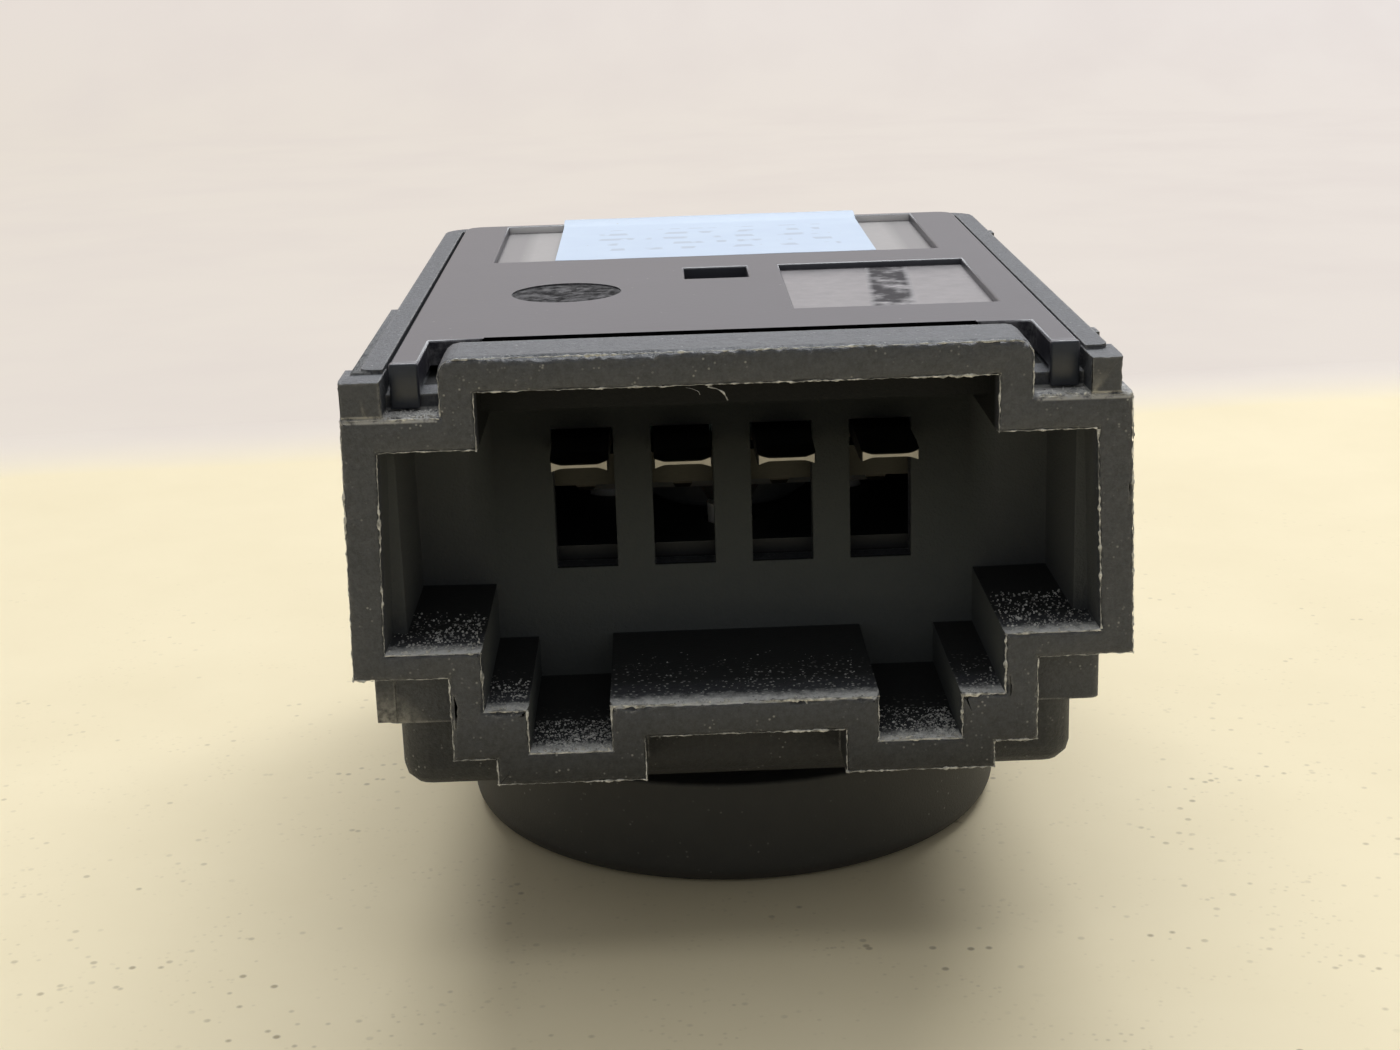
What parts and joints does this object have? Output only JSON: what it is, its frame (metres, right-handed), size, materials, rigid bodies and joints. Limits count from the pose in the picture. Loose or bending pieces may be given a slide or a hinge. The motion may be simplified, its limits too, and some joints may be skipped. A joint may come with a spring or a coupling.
{
  "type": "mirror adjustment switch",
  "caption": "Car door mirror switch: a round joystick knob that turns to pick the mirror and tilts to aim it, in a snap-together black box with a keyed socket of flat blades.",
  "frame": {"origin": "on the plane of the knob's face, on the knob's axis, under the middle of the bounding box", "axes": "+Z out of the rear cover, along the knob's axis and away from its face; -Y out of the connector socket; +X to the right when looking into the socket with the rear cover up"},
  "size_m": [0.0366, 0.0458, 0.0302],
  "materials": {
    "housing_plastic": "matte black, fine moulded grain, dusty at the edges",
    "cover_plastic": "satin black, smooth",
    "knob_plastic": "matte black",
    "label_paper": "matte pale blue, plain grey bars in place of print",
    "terminal_metal": "dull tin plate",
    "board_laminate": "dark green solder mask",
    "silicone": "matte dark grey rubber",
    "lamp_body": "pale yellow lens",
    "resistor_body": "black chip",
    "dark_grey_plastic": "plain dark grey moulding",
    "grey_plastic": "plain grey moulding",
    "pointer_insert": "white, translucent",
    "clear_plastic": "clear moulding",
    "spring_steel": "bright spring steel",
    "contact_bronze": "plain spring bronze"
  },
  "bodies": {
    "case": {"housing": "housing_plastic", "rear_cover": "cover_plastic", "label": "label_paper", "terminal_1": "terminal_metal", "terminal_2": "terminal_metal", "terminal_3": "terminal_metal", "terminal_4": "terminal_metal", "circuit_board": "board_laminate", "dome_mat": "silicone", "lamp": "lamp_body", "resistor_1": "resistor_body", "resistor_2": "resistor_body", "resistor_3": "resistor_body", "guide_frame": "dark_grey_plastic", "detent_plunger": "spring_steel", "detent_spring": "spring_steel"},
    "gimbal": {"gimbal_ring": "grey_plastic"},
    "rocker": {"rocker": "grey_plastic"},
    "knob": {"knob": "knob_plastic", "knob_pointer": "pointer_insert", "light_guide": "clear_plastic", "retaining_ring": "spring_steel"},
    "selector": {"selector_rotor": "dark_grey_plastic", "wiper_contact": "contact_bronze"},
    "left_pusher": {"pusher_left": "dark_grey_plastic"},
    "right_pusher": {"pusher_right": "dark_grey_plastic"},
    "front_pusher": {"pusher_front": "dark_grey_plastic"},
    "rear_pusher": {"pusher_rear": "dark_grey_plastic"}
  },
  "joints": [
    {"name": "tilt_up_down", "type": "hinge", "parent": "case", "child": "gimbal", "pos_m": [0, 0, 0.013], "axis": [1, 0, 0], "range_deg": [-5, 5], "stiffness_Nm_per_rad": 0.13, "deforming": ["dome_mat"]},
    {"name": "tilt_left_right", "type": "hinge", "parent": "gimbal", "child": "rocker", "pos_m": [0, 0, 0.013], "axis": [0, 1, 0], "range_deg": [-5, 5], "stiffness_Nm_per_rad": 0.13},
    {"name": "knob_turn", "type": "hinge", "parent": "rocker", "child": "knob", "pos_m": [0, 0, 0.013], "axis": [0, 0, 1], "range_deg": [-45, 45]},
    {"name": "selector_turn", "type": "hinge", "parent": "case", "child": "selector", "pos_m": [0, 0, 0.018], "axis": [0, 0, 1], "range_deg": [-45, 45]},
    {"name": "left_push", "type": "slide", "parent": "case", "child": "left_pusher", "axis": [0, 0, 1], "range_m": [-0.00057, 0.00057]},
    {"name": "right_push", "type": "slide", "parent": "case", "child": "right_pusher", "axis": [0, 0, 1], "range_m": [-0.00057, 0.00057]},
    {"name": "front_push", "type": "slide", "parent": "case", "child": "front_pusher", "axis": [0, 0, 1], "range_m": [-0.00057, 0.00057]},
    {"name": "rear_push", "type": "slide", "parent": "case", "child": "rear_pusher", "axis": [0, 0, 1], "range_m": [-0.00057, 0.00057]}
  ],
  "couplings": [
    {"joint": "selector_turn", "follows": "knob_turn", "ratio": 1},
    {"joint": "rear_push", "follows": "tilt_up_down", "m_per_rad": 0.0065},
    {"joint": "front_push", "follows": "tilt_up_down", "m_per_rad": -0.0065},
    {"joint": "right_push", "follows": "tilt_left_right", "m_per_rad": -0.0065},
    {"joint": "left_push", "follows": "tilt_left_right", "m_per_rad": 0.0065}
  ]
}
